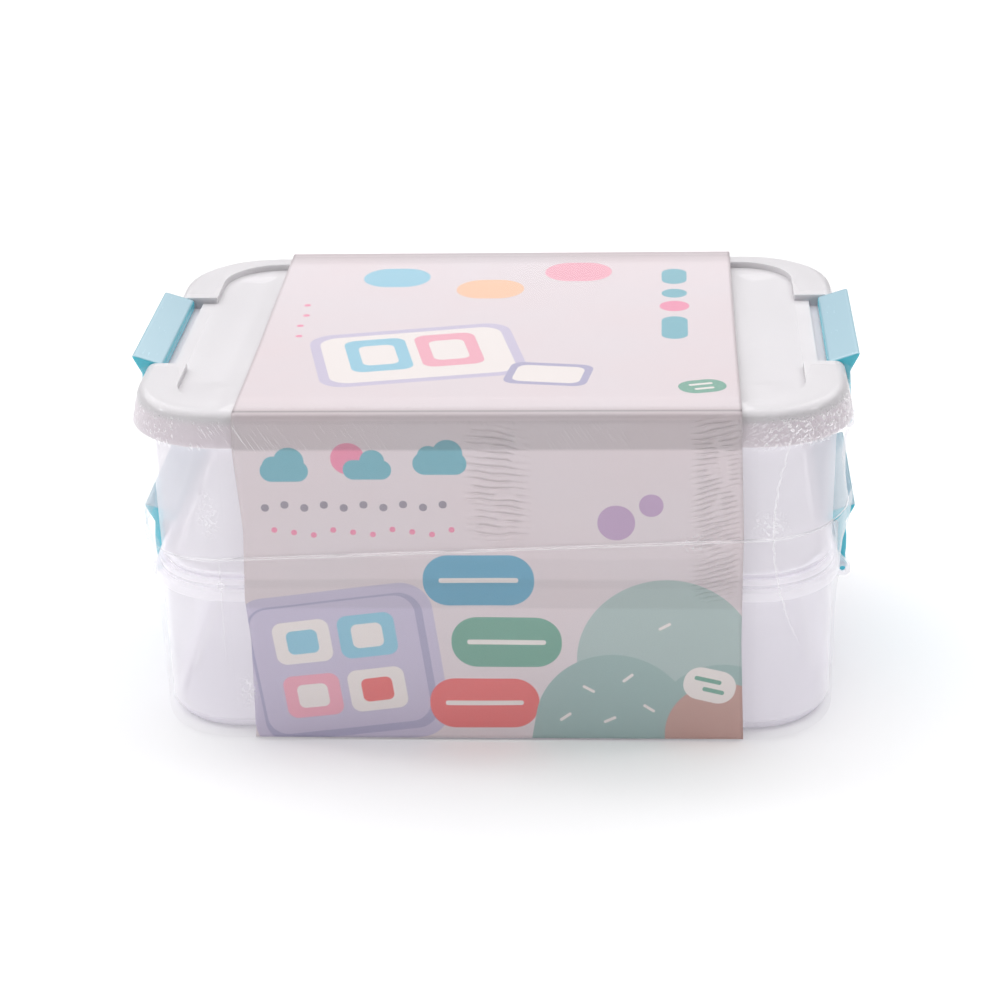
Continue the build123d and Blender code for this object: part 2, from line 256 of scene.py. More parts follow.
# A rounded rectangle by distance: bring the point to the shape's own axes, fold it into one quarter, and
# measure how far it lies past the corner's centre. The mask is 1 up to the corner radius.
own = own_axes(patch, source["Vector"], Location=source["Place"], Rotation=source["Turn"])
past = vector_maths(patch, "SUBTRACT", vector_maths(patch, "ABSOLUTE", own), source["Half size"])
past = vector_maths(patch, "LENGTH", vector_maths(patch, "MAXIMUM", past))
past = maths(patch, "SUBTRACT", past, source["Round"])
past = maths(patch, "DIVIDE", past, source["Soft"])
feed(sink, Mask=maths(patch, "SUBTRACT", 0.5, past, clamp=True))

ripple, source, sink = new_group("pressed_ripples", [("Pitch", 0.0028), ("Slant", -0.1)], ["Height"])
# parallel ridges that wander: the sine of a slanted, gently bent coordinate, cut to short runs by a noise
x_at, y_at = (axis_of(ripple, source["Vector"], axis) for axis in "XY")
bend = noise(ripple, source["Vector"], 45.0, 2.0)
line_at = maths(ripple, "MULTIPLY_ADD", x_at, source["Slant"], y_at)
line_at = maths(ripple, "MULTIPLY_ADD", bend, 0.006, line_at)
turns = maths(ripple, "DIVIDE", line_at, source["Pitch"])
waves = maths(ripple, "SINE", times(ripple, turns, math.tau))
sharp = maths(ripple, "POWER", maths(ripple, "MULTIPLY_ADD", waves, 0.5, 0.5), 2.5)
runs = spread(ripple, noise(ripple, source["Vector"], 120.0, 1.0), 0.32, 0.5)
feed(sink, Height=times(ripple, sharp, runs))
print("groups:", [g.name for g in (grain, cloud, patch, ripple)])

# %% [markdown]
# ## Plastics
#
# The tubs are frosted: milky, a little lavender, and thin enough that the turquoise latches and the far
# wall show through faintly. An alpha below one does that, and back faces are let through so that a wall
# counts once. The lid is white and not see-through. The latches and the handle are glossier, so their
# edges catch the light.
#
# Three tones are painted in to match the photograph, whatever the light: a painted highlight on the
# latches' upward faces, painted shade as a pinker tone on the lid's skirt, and painted shade as a darker
# foot on the tubs. The tubs also give off a little light, a painted glow which stands in for what a
# frosted wall passes on.

# %% Material helpers
LOW_FADE, GRAIN_DEPTH = 0.0025, 0.00006   # metres


def new_material(name):
    """A material with one Principled shader, and its Object coordinates."""
    material = bpy.data.materials.new(name)
    material.use_nodes = True
    tree = material.node_tree
    shader = tree.nodes["Principled BSDF"]
    place = tree.nodes.new("ShaderNodeTexCoord").outputs["Object"]
    return material, tree, shader, place


def group_node(tree, group, vector, **values):
    """Place a group in a material and set its inputs."""
    node = tree.nodes.new("ShaderNodeGroup")
    node.node_tree = group
    return feed(node, Vector=vector, **values)


def blend(tree, share, first, second):
    """first where share is 0 and second where it is 1; each is a socket or a colour."""
    node = tree.nodes.new("ShaderNodeMix")
    node.data_type = "RGBA"
    for index, value in ((0, share), (6, first), (7, second)):
        put(node.inputs[index], (*value, 1.0) if isinstance(value, tuple) else value)
    return node.outputs[2]


def raise_surface(tree, shader, height, strength, distance):
    """Feed a height in 0..1 to the shader's normal through a Bump node, distance in metres."""
    node = feed(tree.nodes.new("ShaderNodeBump"), Height=height, Strength=strength, Distance=distance)
    feed(shader, Normal=node.outputs["Normal"])


def plastic(name, light, dark, rough, scuffs, bump, gloss=0.0, soft=0.0, upward_painted_highlight=None, low=None):
    """Moulded plastic: two near tones mixed by the clouds, grain in the normal, scuffs in roughness, a
    painted highlight colour on the faces that look up, and low = (height, colour), a painted shade tone
    below that height, in metres, blended in over LOW_FADE."""
    material, tree, shader, place = new_material(name)
    tone = group_node(tree, cloud, place, Size=22.0)
    skin = group_node(tree, grain, place, Scuffs=scuffs)
    colour = blend(tree, tone.outputs["Cloud"], dark, light)
    # painted highlight: faces that look up turn to a paler colour, whatever the light
    if upward_painted_highlight:
        faces_up = axis_of(tree, tree.nodes.new("ShaderNodeNewGeometry").outputs["Normal"], "Z")
        colour = blend(tree, spread(tree, faces_up, 0.3, 0.9), colour, upward_painted_highlight)
    # painted shade: below the given height the colour turns to the low tone
    if low:
        under = spread(tree, axis_of(tree, place, "Z"), low[0], low[0] - LOW_FADE)
        colour = blend(tree, under, colour, low[1])
    colour = blend(tree, skin.outputs["Scuff"], colour, tuple(min(1.0, c * 1.06) for c in light))
    roughness = maths(tree, "MULTIPLY_ADD", skin.outputs["Scuff"], 0.35, rough)
    raise_surface(tree, shader, skin.outputs["Height"], bump, GRAIN_DEPTH)
    feed(shader, Base_Color=colour, Roughness=roughness, Coat_Weight=gloss, Coat_Roughness=0.12)
    feed(shader, Subsurface_Weight=soft, Subsurface_Radius=(1.0, 1.0, 1.0), Subsurface_Scale=0.003)
    return material, tree, shader, place


# %% The four plastics
# painted shade: the lid's skirt, below 132 mm, gets a pinker, shaded tone
lid_white, *_ = plastic(
    "lid_white", light=(0.68, 0.66, 0.68), dark=(0.655, 0.635, 0.655), rough=0.36, scuffs=0.3, bump=0.15,
    soft=0.7, low=(0.132, (0.7, 0.64, 0.68)),
)
# painted highlight: the latches' faces that look up are paler
latch_blue, *_ = plastic(
    "latch_turquoise", light=(0.07, 0.6, 0.74), dark=(0.06, 0.55, 0.69), rough=0.26, scuffs=0.5, bump=0.12,
    gloss=0.3, upward_painted_highlight=(0.385, 0.57, 0.66),
)
handle_blue, *_ = plastic(
    "handle_blue", light=(0.06, 0.42, 0.6), dark=(0.05, 0.38, 0.56), rough=0.26, scuffs=0.4, bump=0.12,
    gloss=0.3,
)
# painted shade: the tubs are darker at the foot, below 5.5 mm
frosted, tree, shader, place = plastic(
    "frosted_tub", light=(0.93, 0.9, 0.95), dark=(0.89, 0.86, 0.91), rough=0.34, scuffs=0.35, bump=0.15,
    low=(0.0055, (0.74, 0.7, 0.79)),
)
facing_away = tree.nodes.new("ShaderNodeNewGeometry").outputs["Backfacing"]
milky = group_node(tree, cloud, place, Size=9.0)
seen = spread(tree, milky.outputs["Cloud"], 0.0, 1.0, 0.5, 0.58)
height_now = axis_of(tree, place, "Z")
# the feet and rim flanges are thicker than the wall, so less light passes: their heights in metres
for low_edge, high_edge in ((-0.0001, 0.0043), (0.0567, 0.0618), (0.0629, 0.0673), (0.1197, 0.1248)):
    over = maths(tree, "GREATER_THAN", height_now, low_edge)
    below = maths(tree, "LESS_THAN", height_now, high_edge)
    seen = maths(tree, "MULTIPLY_ADD", times(tree, over, below), 0.22, seen, clamp=True)
seen = times(tree, seen, maths(tree, "SUBTRACT", 1.0, facing_away))
# painted glow: a weak emission stands in for light scattered through the frosted wall
feed(shader, Alpha=seen, Emission_Color=(0.95, 0.93, 1.0, 1.0), Emission_Strength=0.16)

for node in ("lower_container", "upper_container"):
    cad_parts[node].material_slots[0].material = frosted
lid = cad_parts["lid"]
lid.material_slots[0].material = lid_white
# the lid's sharp edges are rounded, as a moulding's are: join its triangles, then bevel by angle
lid.modifiers.new("join_triangles", "WELD").merge_threshold = 0.00001
edge = lid.modifiers.new("soft_edges", "BEVEL")
edge.width, edge.segments = 0.0008, 3
edge.limit_method, edge.angle_limit = "ANGLE", math.radians(38)
print("materials:", [m.name for m in (lid_white, latch_blue, handle_blue, frosted)])

# %% [markdown]
# ## The latches
#
# A latch is one moulding: a wall that hinges on the tub, a sloping top plate that ends in a nose for the
# thumb, and a hook that drops over a ledge. All of it is the same outline carried across the box. A real
# moulding has no sharp edge, so the outline's corners are small arcs, and at both ends of the latch the
# outline shrinks along a quarter circle. Under the plate the moulding is hollow, apart from a web at each
# end, so the outline has a pocket that is pressed flat near the ends.

# %% Rounded outlines
def rounded_outline(corners, steps=5):
    """Points round a polygon of corners (u, v, radius): at each corner the two tangent points lie
    radius * tan(turn / 2) from it, and an arc joins them. The turn is the angle between the two sides."""
    table = np.array(corners, dtype=float)
    corner, radius = table[:, :2], table[:, 2]
    back = np.roll(corner, 1, axis=0) - corner
    on = np.roll(corner, -1, axis=0) - corner
    back_length, on_length = np.linalg.norm(back, axis=1), np.linalg.norm(on, axis=1)
    back, on = back / back_length[:, None], on / on_length[:, None]
    turn = np.pi - np.arccos(np.clip((back * on).sum(axis=1), -1, 1))
    reach = np.minimum(radius * np.tan(turn / 2), 0.48 * np.minimum(back_length, on_length))
    t = np.linspace(0, 1, steps + 1)[None, :, None]
    start, end = (corner + back * reach[:, None])[:, None], (corner + on * reach[:, None])[:, None]
    middle = corner[:, None]
    arc_like = (1 - t) ** 2 * start + 2 * t * (1 - t) * middle + t**2 * end
    return arc_like.reshape(-1, 2)


def towards_spine(loop, spine, amount):
    """Move each point of an outline by amount towards the nearest point of a line drawn down its middle, but
    at most six tenths of the way, so the outline shrinks without crossing itself. The nearest point on a
    leg a..b is a + t (b - a), with t = (p - a) . (b - a) / |b - a|^2 held between 0 and 1."""
    a, b = spine[:-1], spine[1:]
    leg = b - a
    t = np.clip(((loop[:, None] - a) * leg).sum(axis=2) / (leg**2).sum(axis=1), 0, 1)
    foot = a + t[..., None] * leg
    gap = np.linalg.norm(loop[:, None] - foot, axis=2)
    nearest = foot[np.arange(len(loop)), gap.argmin(axis=1)]
    distance = gap.min(axis=1)
    share = np.minimum(amount / np.maximum(distance, 1e-6), 0.6)
    return loop + (nearest - loop) * share[:, None]


# %% Latches
LATCH_HALF, END_ROUND, WEB, WEB_EDGE = 37.3, 0.9, 1.8, 0.15
PIN, PIN_LENGTH, PIVOT_X, PIVOT_Z = 1.2, 2.4, 135.9, 48.5
TIER = 63.0   # from a latch to the one above it

shell = [  # x, z and corner radius, for the right-hand lower latch, from the hook round to the wall's foot
    (128.3, 67.4, 0.6), (128.3, 71.2, 1.5), (141.15, 75.48, 1.1), (136.9, 67.2, 1.6),
    (137.4, 61.0, 20.0), (137.4, 56.0, 20.0), (136.9, 50.5, 12.0), (137.9, 49.0, 1.0), (137.7, 47.2, 1.0),
    (135.9, 46.4, 1.0), (134.2, 47.2, 1.0), (133.9, 49.2, 0.8), (134.0, 50.4, 1.0),
]
pocket_open = [
    (134.0, 67.1, 0.3), (135.1, 67.6, 0.4), (138.3, 72.6, 0.5), (130.1, 70.0, 0.5), (130.1, 67.4, 0.4),
]
pocket_flat = [
    (134.0, 67.4, 0.3), (133.2, 67.4, 0.2), (132.2, 67.4, 0.2), (131.2, 67.4, 0.2), (130.1, 67.4, 0.2),
]
hollow, solid_web = rounded_outline(shell + pocket_open), rounded_outline(shell + pocket_flat)
spine = np.array([   # from the hook to the nose, back to the wall and down it
    (129.6, 69.3), (134.6, 70.4), (138.6, 73.1), (134.6, 70.4), (135.4, 66.0), (135.5, 57.0), (135.8, 48.4),
])
# each station along the latch is (y, how far the outline shrinks, how far the pocket is open)
stations = [
    (-LATCH_HALF + END_ROUND - END_ROUND * math.sin(q), END_ROUND * (1 - math.cos(q)), 0.0)
    for q in np.linspace(np.pi / 2, 0, 5)
]
stations += [(-LATCH_HALF + WEB, 0.0, 0.0), (-LATCH_HALF + WEB + WEB_EDGE, 0.0, 1.0)]
stations += [(y_at, 0.0, 1.0) for y_at in np.linspace(-30, 0, 4)]
stations += [(-y_at, inset, opened) for y_at, inset, opened in stations[-2::-1]]


def latch_rings(side, lift):
    """Each ring is (1 - open) * solid outline + open * hollow outline, moved inwards by the end rounding."""
    rings = []
    for y_at, inset, opened in stations:
        ring = towards_spine(solid_web, spine, inset) if inset else solid_web + (hollow - solid_web) * opened
        rings.append(np.stack([side * ring[:, 0], np.full(len(ring), y_at), ring[:, 1] + lift], axis=1))
    return np.array(rings) * MM


def pin_rings(centre, direction, radius, length):
    """A short round pin along a unit direction (x or y axis): circles whose radius falls along a quarter
    circle of 0.4 mm at the free end."""
    angle = np.linspace(0, 2 * np.pi, 25)[:-1]
    rings = []
    free_end = ((length - 0.4, 0.0), (length - 0.2, 0.06), (length - 0.05, 0.22), (length, 0.4))
    for out, shrink in ((-0.6, 0.0), *free_end):   # the pin starts 0.6 mm inside its piece
        u, v = (radius - shrink) * np.cos(angle), (radius - shrink) * np.sin(angle)
        still = np.zeros_like(u)
        spot = np.stack([still, u, v], axis=1) if direction[0] else np.stack([u, still, v], axis=1)
        rings.append(spot + np.array(centre) + np.array(direction) * out)
    return np.array(rings) * MM


for level, lift in (("lower", 0.0), ("upper", TIER)):
    for side_name, side in (("left", -1), ("right", 1)):
        pins = [
            pin_rings((side * PIVOT_X, end * LATCH_HALF, PIVOT_Z + lift), (0, end, 0), PIN, PIN_LENGTH)
            for end in (-1, 1)
        ]
        latch = closed_skin(f"latch_{level}_{side_name}_moulding", latch_rings(side, lift), pins)
        latch.data.materials.append(latch_blue)
        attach(latch, f"latch_{level}_{side_name}")
        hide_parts(f"latch_{level}_{side_name}")

# %% [markdown]
# ## The handle
#
# The handle lies folded in a well of the lid, under the card, and swings up once the wrap is off. It is a
# flat bail: two arms and a grip with round corners. Its section, an oval with flattened sides, is carried
# along the middle line of the bar, and the arms end in round eyes that carry the pins.

# %% Handle
ARM_X, HINGE_Y, GRIP_Y, HANDLE_Z, BEND = 41.5, 12.5, -12.5, 129.6, 9.0
HALF_WIDE, HALF_THICK, EYE_RADIUS, SCALLOP, SCALLOP_PITCH = 4.5, 2.7, 2.71, 0.25, 15.0
HANDLE_PIN, HANDLE_PIN_LENGTH, HANDLE_PIN_START = 1.5, 2.8, 45.8

turns = np.linspace(0, np.pi / 2, 13)
arm = np.linspace(HINGE_Y, GRIP_Y + BEND, 9)[:-1]
grip = np.linspace(-ARM_X + BEND, ARM_X - BEND, 29)[1:-1]
eye_out = np.array([2.7, 2.66, 2.5, 2.2, 1.7, 1.0])   # how far past the hinge each section of the eye lies
eye = len(eye_out)
half_x = np.concatenate([np.full(eye + len(arm), -ARM_X), -ARM_X + BEND * (1 - np.cos(turns))])
half_y = np.concatenate([HINGE_Y + eye_out, arm, GRIP_Y + BEND * (1 - np.sin(turns))])
path_x = np.concatenate([half_x, grip, -half_x[::-1]])
path_y = np.concatenate([half_y, np.full(len(grip), GRIP_Y), half_y[::-1]])
go_x, go_y = np.gradient(path_x), np.gradient(path_y)
pace = np.hypot(go_x, go_y)
sideways = np.stack([-go_y / pace, go_x / pace], axis=1)
thin = np.ones(len(path_x))
thin[:eye] = np.sqrt(1 - (eye_out / EYE_RADIUS) ** 2)
thin[-eye:] = thin[:eye][::-1]
# shallow hollows for the fingers along the grip's front face
on_grip = np.abs(path_y - GRIP_Y) < 0.01
scallop = np.where(on_grip, SCALLOP * (1 - np.cos(path_x / SCALLOP_PITCH * 2 * np.pi)) / 2, 0.0)
oval = np.linspace(0, 2 * np.pi, 33)[:-1]
squared = 2 / 3.0
across_bar, up_bar = (np.sign(wave) * np.abs(wave) ** squared for wave in (np.cos(oval), np.sin(oval)))
wide = (HALF_WIDE * across_bar)[None, :] - scallop[:, None] * np.clip(across_bar, 0, 1)[None, :]
rings = np.stack([
    path_x[:, None] - sideways[:, :1] * wide,
    path_y[:, None] - sideways[:, 1:] * wide,
    HANDLE_Z + HALF_THICK * thin[:, None] * up_bar[None, :],
], axis=-1) * MM
pins = [
    pin_rings((end * HANDLE_PIN_START, HINGE_Y, HANDLE_Z), (end, 0, 0), HANDLE_PIN, HANDLE_PIN_LENGTH)
    for end in (-1, 1)
]
bail = closed_skin("folding_handle", rings, pins)
bail.data.materials.append(handle_blue)
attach(bail, "handle")
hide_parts("handle")

# %% [markdown]
# ## The card sleeve
#
# The sleeve is one strip of printed card: up the front, over the lid and down the back. A profile (the
# U seen from the end) is carried along X. Real card isn't flat where the film pulls on it, so the front
# and back bow in a little under the lid's rim, where there is room, and the two side edges wander by a
# millimetre or so. On top it sags a little into the lid's sunken panel.

# %% Sleeve surface
SLEEVE_HALF_DEPTH, SLEEVE_TOP, SLEEVE_FOOT, SLEEVE_BEND = 93.2, 135.8, 0.9, 1.8
CARD, SAG, SAG_HALF_DEPTH = 0.5, 1.2, 77.0
BOW, BOW_TOP, BOW_FADE, FOOT_FADE = 0.55, 122.0, 16.0, 12.0
ROWS, COLUMNS = 361, 121

rise = SLEEVE_TOP - SLEEVE_BEND - SLEEVE_FOOT
arc = SLEEVE_BEND * math.pi / 2
flat = 2 * (SLEEVE_HALF_DEPTH - SLEEVE_BEND)
sleeve_length = 2 * rise + 2 * arc + flat


def sleeve_profile(way):
    """y, z and the outward normal's y at a distance along the U from the front foot: straight up, a
    quarter circle, straight back over the lid, a quarter circle, straight down."""
    up = np.clip(way, 0, rise)
    turn_a = np.clip(way - rise, 0, arc) / SLEEVE_BEND
    over = np.clip(way - rise - arc, 0, flat)
    turn_b = np.clip(way - rise - arc - flat, 0, arc) / SLEEVE_BEND
    down = np.clip(way - rise - 2 * arc - flat, 0, rise)
    y = -SLEEVE_HALF_DEPTH + SLEEVE_BEND * (1 - np.cos(turn_a)) + over + SLEEVE_BEND * np.sin(turn_b)
    z = SLEEVE_FOOT + up + SLEEVE_BEND * np.sin(turn_a) - SLEEVE_BEND * (1 - np.cos(turn_b)) - down
    return y, z, -np.cos(turn_a + turn_b)


way = np.linspace(0.0, sleeve_length, ROWS)
y, z, out_y = sleeve_profile(way)
edges = np.array([   # distance along the strip, and the x of its left and right edge there
    (0, -92.4, 96.0), (42, -91.6, 94.8), (59, -93.0, 95.0), (88, -91.8, 95.3), (120, -93.9, 94.3),
    (136, -93.2, 94.1), (200, -93.6, 93.9), (260, -93.9, 93.8), (318, -93.5, 93.7), (340, -94.0, 94.0),
    (385, -92.6, 93.2), (420, -93.4, 94.2), (sleeve_length, -92.8, 93.4),
])
left_edge, right_edge = (np.interp(way, edges[:, 0], edges[:, k]) for k in (1, 2))
share = np.linspace(0.0, 1.0, COLUMNS)
x = left_edge[:, None] + (right_edge - left_edge)[:, None] * share[None, :]
sunk = SAG * np.clip(1 - (y / SAG_HALF_DEPTH) ** 2, 0, 1) * (np.abs(out_y) < 0.01)
hang = np.clip((BOW_TOP - z) / BOW_FADE, 0, 1) * np.clip(z / FOOT_FADE, 0, 1)
bow = BOW + 0.3 * np.sin(x / 23.0 + z[:, None] / 31.0) + 0.18 * np.sin(x / 9.0 - z[:, None] / 12.0)
bow *= (hang * (np.abs(out_y) > 0.99))[:, None]
points = np.stack([x, y[:, None] - out_y[:, None] * bow, (z - sunk)[:, None] + 0 * x], axis=-1) * MM
sleeve = sheet_mesh("card_sleeve", points, x * MM, way[:, None] * MM)
thick = sleeve.modifiers.new("card_thickness", "SOLIDIFY")
thick.thickness, thick.offset = CARD * MM, -1.0
thick.material_offset = thick.material_offset_rim = 1   # grey board inside and on the cut edges
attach(sleeve, "wrap")
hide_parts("sleeve")
print("card strip", round(sleeve_length, 1), "mm long")

# %% [markdown]
# ### The printed picture
#
# The card carries a plain picture of soft shapes. Every shape is one rounded rectangle of the patch
# group, and the table gives its place on the strip, half sizes, corner radius, turn and colour. The
# strip's own UV map (across, along) keeps the print fixed to the card. Bands of painted shade are laid
# on to match the photograph: below the front fold, at the tubs' rims, over the top and towards both folds.

# %% Print
FOLD = rise + arc      # distance along the strip where the top starts
FOLD_SHADE_RUN = 16.0       # the painted shade deepens over this much of the top towards each fold

MINT, MINT_DEEP, BROWN, LILAC = (0.47, 0.58, 0.57), (0.36, 0.5, 0.49), (0.6, 0.36, 0.32), (0.55, 0.38, 0.58)
GREEN, CORAL, BLUE, ROSE = (0.19, 0.42, 0.33), (0.86, 0.18, 0.18), (0.14, 0.42, 0.6), (0.88, 0.3, 0.45)
LAVENDER, LAVENDER_DEEP, CREAM = (0.62, 0.56, 0.72), (0.45, 0.42, 0.6), (0.9, 0.83, 0.81)
SKY, APRICOT, BLUSH, TEAL = (0.3, 0.6, 0.75), (0.95, 0.58, 0.38), (0.9, 0.42, 0.52), (0.19, 0.47, 0.56)
SMOKE, PAPER, PAPER_PINK = (0.34, 0.3, 0.36), (0.79, 0.71, 0.745), (0.8, 0.69, 0.72)

front_shapes = [  # across, along, half width, half height, round, turn in degrees, colour
    (-57, 30, 38, 33, 12, 7, LAVENDER), (-57, 30, 34, 29, 9, 7, LAVENDER_DEEP),
    (-58, 31, 32, 27, 8, 7, LAVENDER),
    (-72, 41, 11, 9, 4, 7, CREAM), (-47, 44, 11, 9, 4, 7, SKY), (-69, 18, 11, 9, 4, 7, BLUSH),
    (-44, 21, 11, 9, 4, 7, CREAM), (-72, 41, 6, 5, 2.5, 7, SKY), (-47, 44, 6, 5, 2.5, 7, CREAM),
    (-69, 18, 6, 5, 2.5, 7, CREAM), (-44, 21, 6, 5, 2.5, 7, CORAL),
    (-4, 67, 21, 10.5, 9.9, 0, BLUE), (6, 41, 21, 10.5, 9.9, 0, GREEN), (-3, 15, 21, 10.5, 9.9, 0, CORAL),
    (-4, 67, 15, 1.0, 0.9, 0, CREAM), (6, 41, 15, 1.0, 0.9, 0, CREAM), (-3, 15, 15, 1.0, 0.9, 0, CREAM),
    (72, 12, 34, 56, 33.9, 14, MINT), (44, -8, 30, 44, 29.9, -10, MINT_DEEP),
    (90, -14, 26, 46, 25.9, 6, MINT_DEEP),
    (88, -16, 22, 40, 21.9, 0, BROWN), (48, 91, 7, 7, 6.9, 0, LILAC), (61, 98, 4.5, 4.5, 4.4, 0, LILAC),
    *((x_mm, at_mm, 2.6, 0.6, 0.5, degrees, CREAM) for x_mm, at_mm, degrees in (
        (28, 9, 35), (37, 21, -30), (45, 8, 25), (52, 26, 40), (60, 13, -35), (66, 48, 30))),
    (83, 23, 10, 7, 6.5, -14, CREAM), (82.4, 25.2, 5.2, 0.9, 0.8, -14, GREEN),
    (84.4, 20.6, 4.2, 0.9, 0.8, -14, GREEN),
    (-75, 112, 9, 4.4, 4.3, 0, TEAL), (-73, 116, 5.6, 5.6, 5.5, 0, TEAL), (-79, 114, 4, 4, 3.9, 0, TEAL),
    (-51, 117, 6.4, 6.4, 6.3, 0, ROSE), (-44, 112.5, 9, 4.0, 3.9, 0, TEAL),
    (-42, 116, 4.6, 4.6, 4.5, 0, TEAL),
    (-17, 115, 10, 4.6, 4.5, 0, TEAL), (-14, 119, 5.6, 5.6, 5.5, 0, TEAL), (-21, 118, 4.2, 4.2, 4.1, 0, TEAL),
]
for k in range(10):
    front_shapes.append((-83 + 7.4 * k, 97 + (k % 2) * 1.2, 1.5, 1.5, 1.4, 0, SMOKE))
    front_shapes.append((-80 + 7.4 * k, 88 - (k % 3) * 1.0, 1.1, 1.1, 1.0, 0, ROSE))
top_shapes = [
    (-30, 62, 40, 30, 10, 12, LAVENDER), (-30, 62, 36, 26, 8, 12, CREAM), (-45, 62, 12, 18, 5, 12, SKY),
    (-18, 68, 12, 18, 5, 12, BLUSH), (-45, 62, 7, 11, 3.5, 12, CREAM), (-18, 68, 7, 11, 3.5, 12, CREAM),
    (22, 40, 16, 12, 5, -8, LAVENDER_DEEP), (22, 40, 13, 9, 4, -8, CREAM),
    (-46, 152, 14, 11, 10.9, 0, SKY), (-6, 138, 14, 11, 10.9, 0, APRICOT), (30, 158, 14, 11, 10.9, 0, BLUSH),
    (70, 152, 5.2, 9, 5.1, 0, TEAL), (70, 132, 5.2, 5.2, 5.1, 0, TEAL), (70, 117, 6.0, 6.0, 5.9, 0, ROSE),
    (70, 92, 5.2, 13, 5.1, 0, TEAL), (80, 26, 9, 7, 6.5, 15, GREEN), (79.4, 28.4, 4.6, 0.9, 0.8, 15, CREAM),
    (80.8, 23.8, 3.8, 0.9, 0.8, 15, CREAM),
    *((k % 2 - 80, 120 - 12 * k, 1.4, 1.4, 1.3, 0, ROSE) for k in range(4)),
]

card, tree, shader, place = new_material("printed_card")
laid_flat = tree.nodes.new("ShaderNodeUVMap")
laid_flat.uv_map = "laid_flat"
strip = laid_flat.outputs["UV"]
run = axis_of(tree, strip, "Y")
# The back repeats the front: past the back fold the strip is measured from its other end, and mirrored.
from_far_end = own_axes(tree, strip, Location=(0.0, sleeve_length * MM, 0.0), Rotation=(0.0, 0.0, math.pi))
past_fold = maths(tree, "GREATER_THAN", run, (sleeve_length - rise) * MM)
picture = blend(tree, past_fold, strip, from_far_end)


def print_shape(tree, x_mm, along_mm, half_w, half_h, rounding, degrees=0.0, soft=0.3):
    """The mask of one printed shape on the picture's coordinates, from sizes in millimetres."""
    node = group_node(tree, patch, picture, Round=rounding * MM, Soft=soft * MM)
    feed(node, Place=(x_mm * MM, along_mm * MM, 0.0), Turn=(0.0, 0.0, math.radians(degrees)))
    feed(node, Half_size=((half_w - rounding) * MM, (half_h - rounding) * MM, 1.0))
    return node.outputs["Mask"]


fibre = noise(tree, strip, 1400.0, 2.0)
tint = group_node(tree, cloud, strip, Size=18.0)
colour = blend(tree, tint.outputs["Cloud"], PAPER, PAPER_PINK)
for shapes, start in ((front_shapes, 0.0), (top_shapes, FOLD)):
    for x_mm, along_mm, half_w, half_h, rounding, degrees, ink in shapes:
        mask = print_shape(tree, x_mm, along_mm + start, half_w, half_h, rounding, degrees)
        colour = blend(tree, mask, colour, ink)
shade = 1.0
# painted shade in bands across the strip: middle, half height, and how much darker
for centre, half, depth in ((rise - 4.1, 8.5, 0.28), (61.5, 6.0, 0.1), (70.0, 6.0, 0.05)):
    band = print_shape(tree, 0.0, centre, 200.0, half, 1.0, soft=1.2)
    shade = maths(tree, "MULTIPLY_ADD", band, -depth, shade)
# painted shade over the whole top
top_face = print_shape(tree, 0.0, FOLD + flat / 2, 200.0, flat / 2, 1.0, soft=1.5)
shade = maths(tree, "MULTIPLY_ADD", top_face, -0.13, shade)
# more painted shade on the top towards both folds
for start, stop in ((FOLD + FOLD_SHADE_RUN, FOLD), (sleeve_length - FOLD - FOLD_SHADE_RUN, sleeve_length - FOLD)):
    bent_edge = times(tree, spread(tree, run, start * MM, stop * MM), top_face)
    shade = maths(tree, "MULTIPLY_ADD", maths(tree, "POWER", bent_edge, 1.6), -0.24, shade)
# the painted shade, with a little variation from the card's fibre
shade_and_fibre = times(tree, shade, spread(tree, fibre, 0.2, 0.8, 0.98, 1.0))
colour = vector_maths(tree, "MULTIPLY", colour, shade_and_fibre)
feed(shader, Base_Color=colour, Roughness=spread(tree, fibre, 0.3, 0.7, 0.36, 0.46))
pressed = group_node(tree, ripple, strip, Pitch=0.0027, Slant=0.09)
pressed_steep = group_node(tree, ripple, strip, Pitch=0.0022, Slant=-0.22)
relief = times(tree, fibre, 0.05)
for ridges, x_mm, along_mm, half_w, half_h in ((pressed, 4, 106, 10, 22), (pressed_steep, 85, 96, 7.5, 36)):
    where = print_shape(tree, x_mm, along_mm, half_w, half_h, 5, soft=6)
    relief = maths(tree, "MULTIPLY_ADD", ridges.outputs["Height"], where, relief)
raise_surface(tree, shader, relief, 0.8, 0.0007)

board, tree, shader, place = new_material("grey_board")
pulp = noise(tree, place, 700.0, 4.0)
feed(shader, Base_Color=blend(tree, pulp, (0.66, 0.63, 0.6), (0.78, 0.76, 0.74)), Roughness=0.85)
raise_surface(tree, shader, pulp, 0.3, 0.0002)
sleeve.data.materials.append(card)
sleeve.data.materials.append(board)
print("printed shapes:", len(front_shapes) + len(top_shapes))

# %% [markdown]
# ## The shrink film
#
# Clear film was shrunk over the whole box and sealed all round a little above half height, so it is two
# skins. It is tight over the lid, falls in under the skirt, is held out again by the latches, and hugs the
# lower tub. Each skin is the box's outline carried through a list of heights, moved in or out along its
# own normal. Its ends stay open round the latches, which have to swing.

# %% Film outline
FILM_HALF_LENGTH, FILM_HALF_DEPTH, FILM_CORNER = 137.5, 93.75, 37.2
FILM_REACH = 140.2   # no film goes past this x, which the latches' noses reach
OPENING, OPENING_FOOT, OPENING_IN = 42.0, 43.0, 20.0   # half width, lowest height, reach in over the lid
SEAM, SEAM_SLOPE, LIP = 81.0, 0.04, 0.35   # the seam climbs towards the right, and its lip stands out
FILM_TOP, TOP_INSET, FILM_STEP = 135.4, 5.9, 1.3
RING_START, RING_END = 1.5, 28.0   # over the lid the film comes in by rings, and from the last one
SPINE_HALF, INNER_RUN = 60.0, 60.0   # it runs to a line along X: half its length, and about how far in


